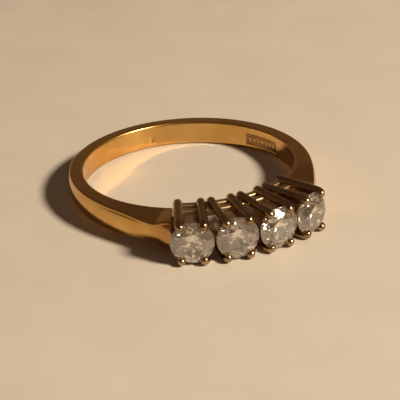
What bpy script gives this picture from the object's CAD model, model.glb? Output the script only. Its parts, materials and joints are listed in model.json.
import json
import math
import random

import bmesh
import bpy
from mathutils import Matrix, Vector


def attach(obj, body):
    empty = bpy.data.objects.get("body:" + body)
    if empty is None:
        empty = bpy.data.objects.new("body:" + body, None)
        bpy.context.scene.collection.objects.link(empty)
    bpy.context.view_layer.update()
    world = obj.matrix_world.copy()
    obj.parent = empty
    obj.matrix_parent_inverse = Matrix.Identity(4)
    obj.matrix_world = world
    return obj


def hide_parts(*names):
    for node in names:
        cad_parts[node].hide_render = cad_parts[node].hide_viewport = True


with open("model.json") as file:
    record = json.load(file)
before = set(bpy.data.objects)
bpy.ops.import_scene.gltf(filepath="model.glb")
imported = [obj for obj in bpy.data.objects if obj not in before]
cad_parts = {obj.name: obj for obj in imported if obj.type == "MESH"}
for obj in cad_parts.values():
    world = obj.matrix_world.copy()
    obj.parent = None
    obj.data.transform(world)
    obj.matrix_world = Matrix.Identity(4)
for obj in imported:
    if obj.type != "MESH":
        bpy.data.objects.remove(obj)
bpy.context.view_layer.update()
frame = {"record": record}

# Lengths are in millimetres and angles in degrees until a point is written to a mesh.
# Angles round the ring are counted from the middle of the head, positive towards +X.
MM = 0.001

# ---------------------------------------------------------------- driving dimensions
MOUNTS = {m["name"]: m for m in frame["record"]["mounts"]}
BORE_R = MOUNTS["finger_bore"]["dims"]["r_mm"]
BAND_W = 1.94
BAND_T = 1.05
SHOULDER_RISE = 1.95
WAIST_IN = 0.22
FLARE_OUT = 0.33
CROWN_H = 0.16
INNER_ROUND = 0.17

STONE_COUNT = 4
STONE_R = 1.575
STONE_GAP = 0.13
GIRDLE_R = BORE_R + 3.85
END_ROOM = 0.18
PITCH = 2 * math.degrees(math.atan((STONE_R + STONE_GAP / 2) / GIRDLE_R))
LAST_STONE_A = PITCH * (STONE_COUNT - 1) / 2
HEAD_A = PITCH * STONE_COUNT / 2 + math.degrees(END_ROOM / BORE_R)
END_TILT = 2.0
TILT_FADE = 4.0

# Claws, in their stone's axes: x along the row of stones, y along the finger, z outwards.
CLAW_R = 0.34
FOOT_X = 0.475 * STONE_R
FOOT_Y = 0.85 * STONE_R
TOP_X = 0.56 * STONE_R
TOP_Y = 0.9 * STONE_R
BEAD_X = 0.51 * STONE_R
BEAD_Y = 0.81 * STONE_R

RAIL_T = 0.5
RAIL_BAR = 0.56
RAIL_HALF_W = 1.35
UPPER_RAIL_H = 0.95

rng = random.Random(4)


def polar(r, a, z):
    """Point at radius r, a degrees round from the head, z along the finger, in metres."""
    t = math.radians(a)
    return Vector((r * math.sin(t), -r * math.cos(t), z)) * MM


def smooth(x, lo, hi):
    t = min(max((x - lo) / (hi - lo), 0.0), 1.0)
    return t * t * (3 - 2 * t)


def new_piece(name, verts, faces, material, node, flat=False):
    mesh = bpy.data.meshes.new(name)
    mesh.from_pydata(verts, [], faces)
    bm = bmesh.new()
    bm.from_mesh(mesh)
    bmesh.ops.recalc_face_normals(bm, faces=bm.faces)
    bm.to_mesh(mesh)
    bm.free()
    for p in mesh.polygons:
        p.use_smooth = not flat
    piece = bpy.data.objects.new(name, mesh)
    bpy.context.scene.collection.objects.link(piece)
    piece.data.materials.append(material)
    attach(piece, "root")
    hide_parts(node)
    return piece


def loft(rings, closed=False):
    """Vertices and faces of a skin over rings of equal length, capped at both ends unless closed."""
    n = len(rings[0])
    m = len(rings)
    verts = [p for ring in rings for p in ring]
    faces = []
    for j in range(m if closed else m - 1):
        i = (j + 1) % m
        for k in range(n):
            q = (k + 1) % n
            faces.append((j * n + k, i * n + k, i * n + q, j * n + q))
    if not closed:
        faces.append(tuple(range(n)))
        faces.append(tuple((m - 1) * n + k for k in reversed(range(n))))
    return verts, faces


# ---------------------------------------------------------------- node helpers
# Sunk metal of the finger hole counts as the panel between these angles, up to this height from the
# middle, and down to this depth. The mask rises between the two shallower depths.
MASK_FROM_A = 80.0
MASK_TO_A = 140.0
MASK_HALF_H = 0.66
MASK_DEEPEST = 0.2
MASK_LOW = 0.012
MASK_FULL = 0.04

# How far the heat tint reaches from the head, and the heights above the bore between which it rises.
TINT_REACH = 11.0
TINT_LOW = 1.5
TINT_FULL = 2.5
TINT_SHARE = 0.8

# Rim wear rises over this part of the inner round, and fades between these depths below the bore.
RIM_RISE = 0.6
RIM_FULL_TO = 0.15
RIM_GONE_AT = 0.35


class Nodes:
    """A small builder for node trees."""

    def __init__(self, name):
        self.material = bpy.data.materials.new(name)
        self.material.use_nodes = True
        self.tree = self.material.node_tree
        self.shader = self.tree.nodes["Principled BSDF"]

    def add(self, kind, **props):
        node = self.tree.nodes.new(kind)
        for key, value in props.items():
            setattr(node, key, value)
        return node

    def link(self, a, b):
        self.tree.links.new(a, b)

    def object_coords(self):
        return self.add("ShaderNodeTexCoord").outputs["Object"]

    def math(self, operation, a, b=None):
        node = self.add("ShaderNodeMath", operation=operation)
        for socket, value in zip(node.inputs, (a, b)):
            if value is None:
                continue
            if isinstance(value, (int, float)):
                socket.default_value = value
            else:
                self.link(value, socket)
        return node.outputs[0]

    def scaled(self, vector, scale):
        node = self.add("ShaderNodeMapping")
        node.inputs["Scale"].default_value = scale
        self.link(vector, node.inputs["Vector"])
        return node.outputs["Vector"]

    def noise(self, vector, scale, detail=4.0, roughness=0.5):
        node = self.add("ShaderNodeTexNoise")
        node.inputs["Scale"].default_value = scale
        node.inputs["Detail"].default_value = detail
        node.inputs["Roughness"].default_value = roughness
        self.link(vector, node.inputs["Vector"])
        return node.outputs["Fac"]

    def ramp(self, value, stops):
        node = self.add("ShaderNodeValToRGB")
        elements = node.color_ramp.elements
        while len(elements) < len(stops):
            elements.new(0.5)
        for element, (at, colour) in zip(elements, stops):
            element.position = at
            element.color = (*colour, 1.0)
        self.link(value, node.inputs["Fac"])
        return node.outputs["Color"]

    def span(self, value, lo, hi):
        node = self.add("ShaderNodeMapRange")
        node.inputs["To Min"].default_value = lo
        node.inputs["To Max"].default_value = hi
        self.link(value, node.inputs["Value"])
        return node.outputs["Result"]

    def mix(self, factor, a, colour):
        node = self.add("ShaderNodeMix", data_type="RGBA")
        self.link(factor, node.inputs["Factor"])
        self.link(a, node.inputs[6])
        node.inputs[7].default_value = (*colour, 1.0)
        return node.outputs[2]

    def step(self, value, lo, hi):
        """0 at lo and beyond, 1 at hi and beyond, with a smooth change between them. It falls with the
        value when lo is the larger."""
        node = self.add("ShaderNodeMapRange", interpolation_type="SMOOTHSTEP")
        node.inputs["From Min"].default_value = lo
        node.inputs["From Max"].default_value = hi
        self.link(value, node.inputs["Value"])
        return node.outputs["Result"]

    def recess_mask(self, along):
        """Grainy and up to 1 on the sunk panel inside the band, 0 elsewhere."""
        split = self.add("ShaderNodeSeparateXYZ")
        self.link(along, split.inputs[0])
        sunk = self.step(split.outputs[1], (BORE_R + MASK_LOW) * MM, (BORE_R + MASK_FULL) * MM)
        wall = self.math("LESS_THAN", split.outputs[1], (BORE_R + MASK_DEEPEST) * MM)
        before_end = self.math("LESS_THAN", split.outputs[0], BORE_R * MM * math.radians(MASK_TO_A))
        low = self.math("LESS_THAN", self.math("ABSOLUTE", split.outputs[2]), MASK_HALF_H * MM)
        past_start = self.math("GREATER_THAN", split.outputs[0], BORE_R * MM * math.radians(MASK_FROM_A))
        grain = self.span(self.noise(along, 5000.0, 2.0), 0.6, 1.0)
        here = self.math(
            "MULTIPLY", self.math("MULTIPLY", past_start, low), self.math("MULTIPLY", wall, before_end)
        )
        return self.math("MULTIPLY", self.math("MULTIPLY", sunk, grain), here)

    def joint_mask(self, along):
        """Rises towards the solder joints at the head, on the outside of the shoulders."""
        split = self.add("ShaderNodeSeparateXYZ")
        self.link(along, split.inputs[0])
        arc = self.math("ABSOLUTE", split.outputs[0])
        far_arc = BORE_R * MM * math.radians(HEAD_A + TINT_REACH)
        near = self.step(arc, far_arc, BORE_R * MM * math.radians(HEAD_A))
        outside = self.step(split.outputs[1], (BORE_R + TINT_LOW) * MM, (BORE_R + TINT_FULL) * MM)
        return self.math("MULTIPLY", self.math("MULTIPLY", near, outside), TINT_SHARE)

    def rim_mask(self, along):
        """1 on the rounded inner rims of the band, 0 elsewhere."""
        split = self.add("ShaderNodeSeparateXYZ")
        self.link(along, split.inputs[0])
        height = self.math("ABSOLUTE", split.outputs[2])
        start = BAND_W / 2 - INNER_ROUND
        rim = self.step(height, start * MM, (start + INNER_ROUND * RIM_RISE) * MM)
        bore = self.step(split.outputs[1], (BORE_R + RIM_GONE_AT) * MM, (BORE_R + RIM_FULL_TO) * MM)
        return self.math("MULTIPLY", rim, bore)

    def bump(self, height, distance, strength=1.0, normal=None):
        node = self.add("ShaderNodeBump")
        node.inputs["Distance"].default_value = distance
        node.inputs["Strength"].default_value = strength
        self.link(height, node.inputs["Height"])
        if normal is not None:
            self.link(normal, node.inputs["Normal"])
        return node.outputs["Normal"]

    def ring_coords(self):
        """Arc length round the ring, radius and height, so that scratches can follow the band."""
        split = self.add("ShaderNodeSeparateXYZ")
        self.link(self.object_coords(), split.inputs[0])
        x, y, z = split.outputs
        angle = self.math("ARCTAN2", x, self.math("MULTIPLY", y, -1.0))
        square = self.math("ADD", self.math("MULTIPLY", x, x), self.math("MULTIPLY", y, y))
        radius = self.math("SQRT", square)
        join = self.add("ShaderNodeCombineXYZ")
        self.link(self.math("MULTIPLY", angle, BORE_R * MM), join.inputs[0])
        self.link(radius, join.inputs[1])
        self.link(z, join.inputs[2])
        return join.outputs[0]


def polished_metal(name, light, dark, rough_lo, rough_hi, scratch, grime=None, heat=None, rim_wear=0.0):
    """Worn, hand-polished metal: faint colour drift, uneven polish, fine scratches and soft ripples.
    With a grime colour, the sunk panel of the finger hole is dark. With a heat colour, the metal is
    tinted next to the solder joints. Rim wear adds roughness on the band's inner rims."""
    n = Nodes(name)
    n.shader.inputs["Metallic"].default_value = 1.0
    coords = n.object_coords()
    along = n.ring_coords()
    drift = n.noise(coords, 420.0, 3.0)
    colour = n.ramp(drift, [(0.35, dark), (0.65, light)])
    if grime:
        colour = n.mix(n.recess_mask(along), colour, grime)
    if heat:
        colour = n.mix(n.joint_mask(along), colour, heat)
    n.link(colour, n.shader.inputs["Base Color"])
    haze = n.noise(coords, 900.0, 5.0, 0.6)
    rough = n.span(haze, rough_lo, rough_hi)
    if rim_wear:
        rough = n.math("ADD", rough, n.math("MULTIPLY", n.rim_mask(along), rim_wear))
    n.link(rough, n.shader.inputs["Roughness"])
    fine = n.noise(n.scaled(along, (500.0, 9000.0, 9000.0)), 1.0, 3.0, 0.65)
    across = n.noise(n.scaled(coords, (9000.0, 1500.0, 700.0)), 1.0, 2.0)
    ripple = n.noise(coords, 650.0, 1.0)
    normal = n.bump(ripple, 0.02 * MM, 0.35)
    normal = n.bump(fine, 0.004 * MM, scratch, normal)
    normal = n.bump(across, 0.003 * MM, scratch * 0.5, normal)
    n.link(normal, n.shader.inputs["Normal"])
    return n.material


def diamond_material():
    n = Nodes("diamond")
    n.shader.inputs["IOR"].default_value = 2.417
    coords = n.object_coords()
    tint = n.noise(coords, 500.0, 2.0)
    colour = n.ramp(tint, [(0.3, (0.95, 0.88, 0.82)), (0.7, (1.0, 0.95, 0.89))])
    n.link(colour, n.shader.inputs["Base Color"])
    film = n.noise(coords, 1100.0, 4.0, 0.6)
    n.link(n.span(film, 0.91, 1.0), n.shader.inputs["Transmission Weight"])
    polish = n.noise(coords, 2500.0, 3.0)
    n.link(n.span(polish, 0.0, 0.05), n.shader.inputs["Roughness"])
    return n.material


def floor_material():
    n = Nodes("pale_floor")
    n.shader.inputs["Specular IOR Level"].default_value = 0.3
    coords = n.object_coords()
    cloud = n.noise(coords, 160.0, 5.0)
    colour = n.ramp(cloud, [(0.3, (0.595, 0.56, 0.505)), (0.7, (0.635, 0.595, 0.545))])
    n.link(colour, n.shader.inputs["Base Color"])
    grain = n.noise(coords, 4000.0, 3.0)
    n.link(n.span(grain, 0.5, 0.7), n.shader.inputs["Roughness"])
    n.link(n.bump(grain, 0.02 * MM, 0.15), n.shader.inputs["Normal"])
    return n.material


GOLD = polished_metal(
    "yellow_gold", (0.72, 0.445, 0.155), (0.64, 0.365, 0.11), 0.05, 0.13, 0.2,
    grime=(0.2, 0.1, 0.04), heat=(0.46, 0.24, 0.09), rim_wear=0.2
)
WHITE = polished_metal("white_gold", (0.43, 0.3, 0.175), (0.31, 0.2, 0.105), 0.16, 0.28, 0.5)
SATIN = polished_metal("white_gold_satin", (0.58, 0.43, 0.28), (0.46, 0.33, 0.2), 0.35, 0.5, 0.6)
DIAMOND = diamond_material()

# ---------------------------------------------------------------- shank
RISE_FADE = 16.5
WAIST_AT = 8.0
WAIST_FADE = 9.0
FLARE_FADE = 4.2
OUTER_ROUND = 0.15
END_ROUND = 0.05

# Steps of the band's half section: up the bore side, round each edge and across the crown.
BORE_STEPS = 24
ROUND_STEPS = 6
CROWN_STEPS = 10

PANEL_A = 109.0
PANEL_SPAN = 24.0
PANEL_H = 0.96
PANEL_Z = -0.13
PANEL_DEPTH = 0.05
PANEL_EDGE = 0.05
DIMPLE_A = 178.0
DIMPLE_HALF_L = 0.36
DIMPLE_HALF_H = 0.5
DIMPLE_Z = -0.1
DIMPLE_DEPTH = 0.05
BEADS = 7
BEAD_RELIEF = 0.55
BEAD_HALF_L = 0.17
BEAD_HALF_H = 0.26


def edge_r(d):
    """Radius of the outer edge, d degrees from the end of the shoulder."""
    return BORE_R + BAND_T + SHOULDER_RISE * math.exp(-d / RISE_FADE)


def half_w(d):
    """Half the width of the outer face there, with the waist and the flare before the head."""
    waist = WAIST_IN * math.exp(-(((d - WAIST_AT) / WAIST_FADE) ** 2))
    flare = FLARE_OUT * math.exp(-((d / FLARE_FADE) ** 3))
    return BAND_W / 2 - waist + flare


def band_half_section(re, h, inset):
    """From the middle of the bore side round to the crown, as (radius, height) pairs."""
    ri = BORE_R + inset
    re = re - inset
    h = h - inset
    hi = BAND_W / 2 - inset
    points = [(ri, (hi - INNER_ROUND) * k / BORE_STEPS) for k in range(BORE_STEPS)]
    points.append((ri, hi - INNER_ROUND))
    for k in range(1, ROUND_STEPS + 1):
        t = math.radians(90 / ROUND_STEPS * k)
        points.append((ri + INNER_ROUND * (1 - math.cos(t)), hi - INNER_ROUND + INNER_ROUND * math.sin(t)))
    lo, hi_r = ri + INNER_ROUND, re - OUTER_ROUND
    points += [(lo + (hi_r - lo) * f, hi + (h - hi) * f) for f in (0.04, 0.3, 0.7, 0.96, 1.0)]
    for k in range(1, ROUND_STEPS + 1):
        t = math.radians(90 / ROUND_STEPS * k)
        points.append((hi_r + OUTER_ROUND * math.sin(t), h - OUTER_ROUND + OUTER_ROUND * math.cos(t)))
    crown = CROWN_H * (2 * h / BAND_W) ** 2
    for k in range(1, CROWN_STEPS + 1):
        z = 1 - k / CROWN_STEPS
        points.append((re + crown * (1 - z * z), (h - OUTER_ROUND) * z))
    return points


def end_a(r):
    """Angle at which a shoulder's end plane meets the radius r."""
    c = BORE_R * math.sin(math.radians(HEAD_A - LAST_STONE_A - END_TILT))
    return LAST_STONE_A + END_TILT + math.degrees(math.asin(c / r))


def band_point(r, z, a):
    """Point of the band, moved towards the head near the shoulder's tilted end."""
    side = 1 if a < 180 else -1
    pull = (HEAD_A - end_a(r)) * math.exp(-(min(a, 360 - a) - HEAD_A) / TILT_FADE)
    return polar(r, a - side * pull, z)


def relief(a, z):
    """Depth of the marks inside the band, in millimetres: a sunk panel with beads, and a dimple."""
    arc = BORE_R * math.radians(1)
    du = PANEL_SPAN / 2 * arc - abs((a - PANEL_A) * arc)
    dv = PANEL_H / 2 - abs(z - PANEL_Z)
    depth = PANEL_DEPTH * smooth(min(du, dv), 0.0, PANEL_EDGE)
    spacing = PANEL_SPAN / (BEADS + 1)
    for k in range(BEADS):
        u = (a - PANEL_A + PANEL_SPAN / 2 - (k + 1) * spacing) * arc
        v = z - PANEL_Z
        from_bead = math.hypot(u / BEAD_HALF_L, v / BEAD_HALF_H)
        depth -= PANEL_DEPTH * BEAD_RELIEF * (1 - smooth(from_bead, 0.55, 1.0))
    u = (a - DIMPLE_A) * arc / DIMPLE_HALF_L
    v = (z - DIMPLE_Z) / DIMPLE_HALF_H
    depth += DIMPLE_DEPTH * (1 - smooth(math.hypot(u, v), 0.2, 1.0))
    return depth


def shank_angles():
    """Stations round the band, closer together near the head and finest over the marks."""
    steps = 240
    crowding = 0.75
    closest = 0.12
    angles = set()
    for j in range(steps + 1):
        t = j / steps
        warped = t - crowding * math.sin(2 * math.pi * t) / (2 * math.pi)
        angles.add(round(HEAD_A + (360 - 2 * HEAD_A) * warped, 4))
    fine = 0.3
    for middle, span in ((PANEL_A, PANEL_SPAN + 1), (DIMPLE_A, 6)):
        for j in range(int(span / fine) + 1):
            angles.add(round(middle - span / 2 + j * fine, 4))
    ordered = sorted(angles)
    kept = [ordered[0]]
    for a in ordered[1:-1]:
        if a - kept[-1] > closest:
            kept.append(a)
    if ordered[-1] - kept[-1] < closest:
        kept.pop()
    return kept + [ordered[-1]]


def build_shank():
    rings = []
    angles = shank_angles()
    end = math.degrees(END_ROUND / BORE_R)
    stations = [(angles[0], END_ROUND), (angles[0] + end * 0.3, END_ROUND * 0.3)]
    stations += [(a, 0.0) for a in angles if angles[0] + end <= a <= angles[-1] - end]
    stations += [(angles[-1] - end * 0.3, END_ROUND * 0.3), (angles[-1], END_ROUND)]
    for a, inset in stations:
        d = min(a, 360 - a) - HEAD_A
        half = band_half_section(edge_r(d), half_w(d), inset)
        full = half + [(r, -z) for r, z in reversed(half[1:-1])]
        ring = []
        for r, z in full:
            if r <= BORE_R:
                r += relief(a, z)
            ring.append(band_point(r, z, a))
        rings.append(ring)
    verts, faces = loft(rings)
    new_piece("band", verts, faces, GOLD, "shank")


build_shank()

# ---------------------------------------------------------------- rails
RAIL_ROUND = 0.1
RAIL_CORNER = 0.34


def rounded_rectangle(half_l, half_h, corner, steps):
    """Points and outward normals round a rounded rectangle, with long sides sampled."""
    longest = 0.12
    path = []
    centres = ((1, 1, 0), (-1, 1, 90), (-1, -1, 180), (1, -1, 270))
    for sx, sy, start in centres:
        cx, cy = sx * (half_l - corner), sy * (half_h - corner)
        for k in range(steps + 1):
            t = math.radians(start + 90 * k / steps)
            nx, ny = math.cos(t), math.sin(t)
            path.append((cx + corner * nx, cy + corner * ny, nx, ny))
    full = []
    for j, here in enumerate(path):
        ahead = path[(j + 1) % len(path)]
        length = math.hypot(ahead[0] - here[0], ahead[1] - here[1])
        pieces = max(1, int(length / longest))
        for k in range(pieces):
            f = k / pieces
            full.append(tuple(p + (q - p) * f for p, q in zip(here, ahead)))
    return full


def build_rail(name, node, h):
    r1 = BORE_R + h
    middle = r1 + RAIL_T / 2
    half_l = middle * math.radians(end_a(r1 + RAIL_T)) - RAIL_BAR / 2
    half_h = RAIL_HALF_W - RAIL_BAR / 2
    section = rounded_rectangle(RAIL_BAR / 2, RAIL_T / 2, RAIL_ROUND, 3)
    rings = []
    for s, z, ns, nz in rounded_rectangle(half_l, half_h, RAIL_CORNER, 8):
        ring = []
        for out, dr, _, _ in section:
            a = math.degrees((s + ns * out) / middle)
            ring.append(polar(middle + dr, a, z + nz * out))
        rings.append(ring)
    verts, faces = loft(rings, closed=True)
    new_piece(name, verts, faces, SATIN, node)


build_rail("rail_lower", "base_rail", 0.0)
build_rail("rail_upper", "upper_rail", UPPER_RAIL_H)


# ---------------------------------------------------------------- stones, seats and claws
def stone_matrix(i):
    """From a stone's own axes (x along the row, y along the finger, z outwards) to the ring's."""
    a = math.radians(PITCH * (i - (STONE_COUNT + 1) / 2))
    return Matrix.Rotation(a, 4, "Z") @ Matrix.Rotation(math.pi / 2, 4, "X")


def placed(i, points):
    m = stone_matrix(i)
    return [m @ (Vector(p) * MM) for p in points]


# Proportions of the cut, for a stone of radius 1.
TABLE = 0.56
CROWN_ANGLE = math.radians(34.5)
PAVILION_ANGLE = math.radians(40.75)
GIRDLE_HALF = 0.03
LOWER_HALF = 0.22
EIGHTH = math.pi / 4


def facet_planes():
    """(point, outward normal) of each facet of a round brilliant of radius 1."""
    g = GIRDLE_HALF
    planes = []
    table_h = g + (1 - TABLE) * math.tan(CROWN_ANGLE)
    planes.append((Vector((0, 0, table_h)), Vector((0, 0, 1))))
    star_r = (1 + TABLE * math.cos(EIGHTH / 2)) / 2
    star_h = g + (1 - star_r * math.cos(EIGHTH / 2)) * math.tan(CROWN_ANGLE)
    low_h = -g - (1 - LOWER_HALF * math.cos(EIGHTH / 2)) * math.tan(PAVILION_ANGLE)

    def at(r, a, z):
        return Vector((r * math.cos(a), r * math.sin(a), z))

    for k in range(8):
        a = k * EIGHTH
        mid = a + EIGHTH / 2
        sin_c, cos_c = math.sin(CROWN_ANGLE), math.cos(CROWN_ANGLE)
        sin_p, cos_p = math.sin(PAVILION_ANGLE), math.cos(PAVILION_ANGLE)
        planes.append((at(1, a, g), Vector((sin_c * math.cos(a), sin_c * math.sin(a), cos_c))))
        planes.append((at(1, a, -g), Vector((sin_p * math.cos(a), sin_p * math.sin(a), -cos_p))))
        triples = [(at(TABLE, a, table_h), at(TABLE, a + EIGHTH, table_h), at(star_r, mid, star_h))]
        for side in (a, a + EIGHTH):
            triples.append((at(star_r, mid, star_h), at(1, side, g), at(1, mid, g)))
            triples.append((at(LOWER_HALF, mid, low_h), at(1, side, -g), at(1, mid, -g)))
        for p, q, r in triples:
            normal = (q - p).cross(r - p).normalized()
            if normal.dot(p) < 0:
                normal.negate()
            planes.append((p, normal))
    return planes


def brilliant_mesh(name):
    """A round brilliant cut from a cylinder, one facet plane at a time."""
    bm = bmesh.new()
    bmesh.ops.create_cone(
        bm, cap_ends=True, cap_tris=False, segments=96, radius1=1.0, radius2=1.0, depth=3.0
    )
    for point, normal in facet_planes():
        cut = bmesh.ops.bisect_plane(
            bm,
            geom=bm.verts[:] + bm.edges[:] + bm.faces[:],
            plane_co=point,
            plane_no=normal,
            dist=1e-7,
            clear_outer=True,
        )
        edges = [e for e in cut["geom_cut"] if isinstance(e, bmesh.types.BMEdge)]
        if len(edges) > 2:
            bmesh.ops.contextual_create(bm, geom=edges)
    bmesh.ops.remove_doubles(bm, verts=bm.verts, dist=1e-5)
    bmesh.ops.recalc_face_normals(bm, faces=bm.faces)
    mesh = bpy.data.meshes.new(name)
    bm.to_mesh(mesh)
    bm.free()
    return mesh


# How far each stone is turned in its seat, in degrees. It decides which facets catch the key light.
STONE_TURNS = (36.0, 36.0, 9.4, 18.0)


def build_stone(i, cut):
    turn = Matrix.Rotation(math.radians(STONE_TURNS[i - 1]), 4, "Z")
    lift = Matrix.Translation((0, 0, GIRDLE_R * MM))
    m = stone_matrix(i) @ lift @ Matrix.Scale(STONE_R * MM, 4) @ turn
    verts = [m @ v.co for v in cut.vertices]
    faces = [tuple(p.vertices) for p in cut.polygons]
    new_piece(f"brilliant_{i}", verts, faces, DIAMOND, f"stone_{i}", flat=True)


COLLET_TOP = GIRDLE_R - 0.35
COLLET_FOOT = GIRDLE_R - 1.95
COLLET_TOP_R = STONE_R - 0.28
COLLET_FOOT_R = STONE_R - 0.375
COLLET_BORE_R = STONE_R - 0.575
SEAT_R = STONE_R - 0.33


def build_seat(i):
    """Turned seat ring, with its edges eased."""
    ease = 0.04
    profile = [
        (COLLET_BORE_R, COLLET_FOOT + ease),
        (COLLET_BORE_R + ease, COLLET_FOOT),
        (COLLET_FOOT_R - ease, COLLET_FOOT),
        (COLLET_FOOT_R, COLLET_FOOT + ease),
        (COLLET_TOP_R, COLLET_TOP - ease),
        (COLLET_TOP_R - ease, COLLET_TOP),
        (SEAT_R, COLLET_TOP),
        (COLLET_BORE_R, COLLET_TOP - (SEAT_R - COLLET_BORE_R) * math.tan(PAVILION_ANGLE)),
    ]
    steps = 72
    rings = []
    for k in range(steps):
        t = 2 * math.pi * k / steps
        rings.append(placed(i, [(r * math.cos(t), r * math.sin(t), z) for r, z in profile]))
    verts, faces = loft(rings, closed=True)
    piece = new_piece(f"seat_{i}", verts, faces, SATIN, f"collet_{i}")
    edges = piece.modifiers.new("edges", "EDGE_SPLIT")
    edges.split_angle = math.radians(35)


def tube(centres, radii, sides=24):
    """Rings of a round tube along a path, with the section kept square to the path."""
    rings = []
    reference = Vector((0.3, 0.9, 0.1))  # a direction that no wire runs in
    for j, (c, r) in enumerate(zip(centres, radii)):
        before = centres[max(j - 1, 0)]
        after = centres[min(j + 1, len(centres) - 1)]
        along = (after - before).normalized()
        u = along.cross(reference).normalized()
        v = along.cross(u)
        ring = []
        for k in range(sides):
            t = 2 * math.pi * k / sides
            ring.append(c + (u * math.cos(t) + v * math.sin(t)) * r)
        rings.append(ring)
    return rings


# Where a claw wire starts to bend and where it ends, against the girdle's height.
BEND_START = GIRDLE_R - 0.15
BEND_CORNER = GIRDLE_R + 0.2
TIP_HEIGHT = GIRDLE_R + 0.24
# How far each point may wander from the rule, so that no two claws are alike.
BEND_WANDER = 0.02
TIP_WANDER = 0.03
TIP_SIZE = (0.94, 1.04)
TIP_TAPER = 0.1
# The foot is filed flush, with its edge eased over this height.
FOOT_EASE = 0.03


def build_claw(i, x, y):
    """Wire from the finger hole to the crown, with its end turned in over the stone."""
    size = rng.uniform(*TIP_SIZE)
    outermost = (i == 1 and x < 0) or (i == STONE_COUNT and x > 0)

    def at(px, py, z, wander):
        return Vector((x * px + rng.uniform(-wander, wander), y * py + rng.uniform(-wander, wander), z))

    foot = at(FOOT_X + (END_ROOM if outermost else 0), FOOT_Y, BORE_R, 0.0)
    knee = at(TOP_X, TOP_Y, BEND_START, BEND_WANDER)
    hook = at(TOP_X, TOP_Y, BEND_CORNER, BEND_WANDER)
    tip = at(BEAD_X, BEAD_Y, TIP_HEIGHT, TIP_WANDER)
    centres, radii = [], []
    for k in range(13):
        f = k / 12
        centres.append(foot.lerp(knee, f))
        radii.append(CLAW_R)
    for k in range(1, 11):
        f = k / 10
        centres.append(knee.lerp(hook, f).lerp(hook.lerp(tip, f), f))
        radii.append(CLAW_R * (1 - TIP_TAPER * f) * size)
    last = centres[-1]
    along = (last - centres[-2]).normalized()
    end_r = radii[-1]
    for k in range(1, 7):
        t = math.radians(15 * k)
        centres.append(last + along * end_r * 0.8 * math.sin(t))
        radii.append(max(end_r * math.cos(t), 0.01))
    centres.insert(1, foot + Vector((0, 0, FOOT_EASE)))
    radii.insert(1, CLAW_R * 0.97)
    radii[0] = CLAW_R * 0.86
    rings = [placed(i, ring) for ring in tube(centres, radii)]
    verts, faces = loft(rings)
    side = "left" if x < 0 else "right"
    end = "bottom" if y < 0 else "top"
    new_piece(f"claw_wire_{i}_{side}_{end}", verts, faces, WHITE, f"claw_{i}_{side}_{end}")


cut = brilliant_mesh("cut")
for i in range(1, STONE_COUNT + 1):
    build_stone(i, cut)
    build_seat(i)
    for x in (-1, 1):
        for y in (-1, 1):
            build_claw(i, x, y)
bpy.data.meshes.remove(cut)

# ---------------------------------------------------------------- floor
# The ring lies on its side, on its lower claws just above the girdles and on the back of the band.
REST_ABOVE_GIRDLE = 0.1
REST_SINK = 0.02
low_head = Vector((0, -(GIRDLE_R + REST_ABOVE_GIRDLE), -(TOP_Y + CLAW_R))) * MM
low_back = Vector((0, BORE_R + BAND_T, -BAND_W / 2 + REST_SINK)) * MM
tilt = math.atan2(low_back.z - low_head.z, low_back.y - low_head.y)

FLOOR_HALF = 0.6


def build_floor():
    bm = bmesh.new()
    bmesh.ops.create_grid(bm, x_segments=24, y_segments=24, size=FLOOR_HALF)
    mesh = bpy.data.meshes.new("floor")
    bm.to_mesh(mesh)
    bm.free()
    floor = bpy.data.objects.new("floor", mesh)
    floor.rotation_euler = (tilt, 0, 0)
    floor.location = low_head.lerp(low_back, 0.5)
    bpy.context.scene.collection.objects.link(floor)
    mesh.materials.append(floor_material())


build_floor()

# ---------------------------------------------------------------- camera
CAMERA_ROUND = 23.4
CAMERA_UP = 25.245
CAMERA_ROLL = -2.936
CAMERA_DISTANCE = 101.94
CAMERA_ASIDE = 0.855
CAMERA_ABOVE = -2.142
LENS_MM = 117.0


def build_camera():
    e, a, roll = (math.radians(v) for v in (CAMERA_UP, CAMERA_ROUND, CAMERA_ROLL))
    turn = Matrix.Rotation(-a, 3, "Z")
    back = turn @ Vector((0, -math.cos(e), math.sin(e)))
    right = turn @ Vector((1, 0, 0))
    up = turn @ Vector((0, math.sin(e), math.cos(e)))
    right, up = right * math.cos(roll) + up * math.sin(roll), up * math.cos(roll) - right * math.sin(roll)
    data = bpy.data.cameras.new("camera")
    data.lens = LENS_MM
    data.sensor_width = 36.0
    data.clip_start = 0.001
    camera = bpy.data.objects.new("camera", data)
    place = (back * CAMERA_DISTANCE + right * CAMERA_ASIDE + up * CAMERA_ABOVE) * MM
    axes = Matrix((right, up, back)).transposed()
    camera.matrix_world = Matrix.Translation(place) @ axes.to_4x4()
    bpy.context.scene.collection.objects.link(camera)
    bpy.context.scene.camera = camera


build_camera()


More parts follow.
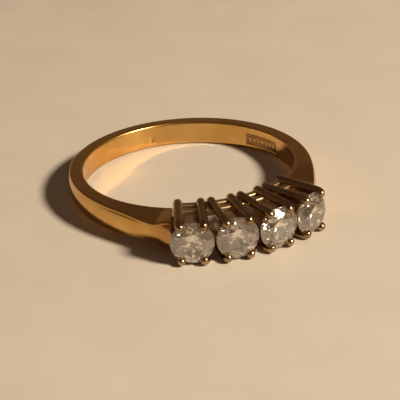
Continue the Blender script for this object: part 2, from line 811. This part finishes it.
# ---------------------------------------------------------------- light
# Direction of the key light from the ring: azimuth 0 is +X and 90 is +Y. Sizes are in metres.
KEY_AZIMUTH = -52.5
KEY_ELEVATION = 36.5
KEY_DISTANCE = 0.5
KEY_SIZE = 0.09
KEY_POWER = 3.9
KEY_COLOUR = (1.0, 0.82, 0.6)


def build_key_light():
    a, e = math.radians(KEY_AZIMUTH), math.radians(KEY_ELEVATION)
    place = Vector((math.cos(e) * math.cos(a), math.cos(e) * math.sin(a), math.sin(e))) * KEY_DISTANCE
    data = bpy.data.lights.new("key", "AREA")
    data.shape = "DISK"
    data.size = KEY_SIZE
    data.energy = KEY_POWER
    data.color = KEY_COLOUR
    lamp = bpy.data.objects.new("key", data)
    lamp.location = place
    lamp.rotation_euler = place.to_track_quat("Z", "Y").to_euler()
    bpy.context.scene.collection.objects.link(lamp)


build_key_light()

# The surroundings change from the low to the high colour between these heights of the view direction.
SKY_LOW = (0.17, 0.105, 0.055)
SKY_HIGH = (0.09, 0.056, 0.037)
SKY_LOW_TO = 0.33
SKY_HIGH_FROM = 0.46


def build_world():
    """Dim warm surroundings, lighter low down than overhead."""
    world = bpy.data.worlds.new("world")
    world.use_nodes = True
    tree = world.node_tree
    background = tree.nodes["Background"]
    coords = tree.nodes.new("ShaderNodeTexCoord")
    split = tree.nodes.new("ShaderNodeSeparateXYZ")
    ramp = tree.nodes.new("ShaderNodeValToRGB")
    low, high = ramp.color_ramp.elements
    low.position, low.color = SKY_LOW_TO, (*SKY_LOW, 1.0)
    high.position, high.color = SKY_HIGH_FROM, (*SKY_HIGH, 1.0)
    tree.links.new(coords.outputs["Generated"], split.inputs[0])
    tree.links.new(split.outputs["Z"], ramp.inputs["Fac"])
    tree.links.new(ramp.outputs["Color"], background.inputs["Color"])
    background.inputs["Strength"].default_value = 1.0
    bpy.context.scene.world = world


build_world()

view = bpy.context.scene.view_settings
view.view_transform = "Standard"
view.look = "None"
# The clamp is high enough to leave the light that the band throws on the floor.
cycles = bpy.context.scene.cycles
cycles.blur_glossy = 0.15
cycles.sample_clamp_indirect = 16.0
cycles.max_bounces = 24
cycles.transmission_bounces = 20
cycles.glossy_bounces = 10
